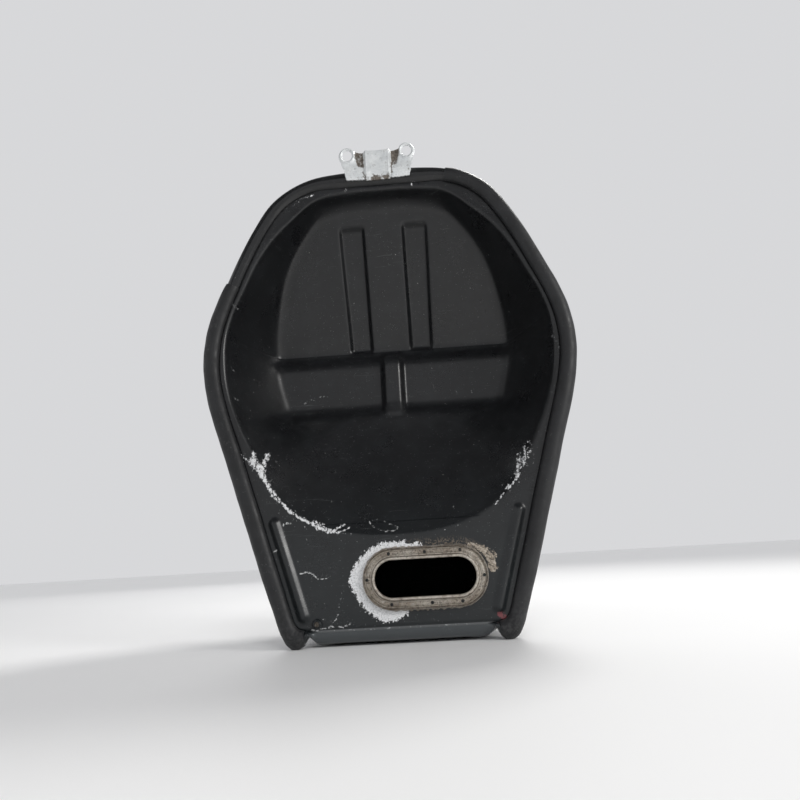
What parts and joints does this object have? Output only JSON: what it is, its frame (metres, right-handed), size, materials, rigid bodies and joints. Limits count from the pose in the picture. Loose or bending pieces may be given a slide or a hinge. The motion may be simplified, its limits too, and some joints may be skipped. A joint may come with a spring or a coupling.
{
  "type": "motorcycle fuel tank",
  "caption": "Pressed-steel motorcycle fuel tank standing on its rear end, with air-box recess, oblong pump flange, front mounting strap and hinged locking filler cap.",
  "frame": {"origin": "under the middle of the bounding box, on the surface the tank stands on", "axes": "+Z from the rear (seat) end up to the front (steering head) end, X across the tank, -Y the underside with the air-box recess and the pump flange, +Y the top skin with the filler cap"},
  "size_m": [0.4188, 0.2442, 0.5684],
  "materials": {
    "skin_paint": "semi-gloss black stoving paint",
    "pan_paint": "semi-gloss black paint, scratched and chipped",
    "trim_rubber": "satin black moulding",
    "ring_steel": "bare steel with dried sealant",
    "bracket_steel": "worn white paint over bare steel",
    "inner_steel": "dull plain steel",
    "cap_alloy": "satin",
    "fastener_steel": "zinc plated",
    "seal_rubber": "matte"
  },
  "bodies": {
    "tank": {"outer_shell": "skin_paint", "base_pan": "pan_paint", "edge_trim_left": "trim_rubber", "edge_trim_right": "trim_rubber", "pump_flange_ring": "ring_steel", "pump_nut_ring": "inner_steel", "front_bracket": "bracket_steel", "rear_mount_bracket": "skin_paint", "drain_boss": "pan_paint", "drain_tube": "inner_steel", "filler_neck": "inner_steel", "internal_baffle": "inner_steel", "cap_gasket": "seal_rubber", "cap_ring": "cap_alloy", "cap_screw_1": "fastener_steel", "cap_screw_2": "fastener_steel", "cap_screw_3": "fastener_steel", "cap_screw_4": "fastener_steel", "cap_screw_5": "fastener_steel", "hinge_pin": "fastener_steel"},
    "lid": {"cap_lid": "cap_alloy", "lid_plug": "inner_steel", "lid_seal": "seal_rubber", "cover_rivet": "fastener_steel"},
    "lock": {"lock_barrel": "fastener_steel"},
    "latch": {"latch_bolt": "fastener_steel"},
    "keyhole_flap": {"keyhole_cover": "cap_alloy"}
  },
  "joints": [
    {"name": "lid_hinge", "type": "hinge", "parent": "tank", "child": "lid", "pos_m": [0, 0.1171, 0.414], "axis": [1, 0, 0], "range_deg": [0, 95]},
    {"name": "lock_turn", "type": "hinge", "parent": "lid", "child": "lock", "pos_m": [0, 0.1095, 0.375], "axis": [0, 1, 0], "range_deg": [0, 90]},
    {"name": "latch_slide", "type": "slide", "parent": "lid", "child": "latch", "axis": [0, 0, -1], "range_m": [0, 0.0065]},
    {"name": "flap_swing", "type": "hinge", "parent": "lid", "child": "keyhole_flap", "pos_m": [0, 0.1195, 0.389], "axis": [0, 1, 0], "range_deg": [-95, 95]}
  ],
  "couplings": [
    {"joint": "latch_slide", "follows": "lock_turn", "m_per_rad": 0.0041}
  ]
}
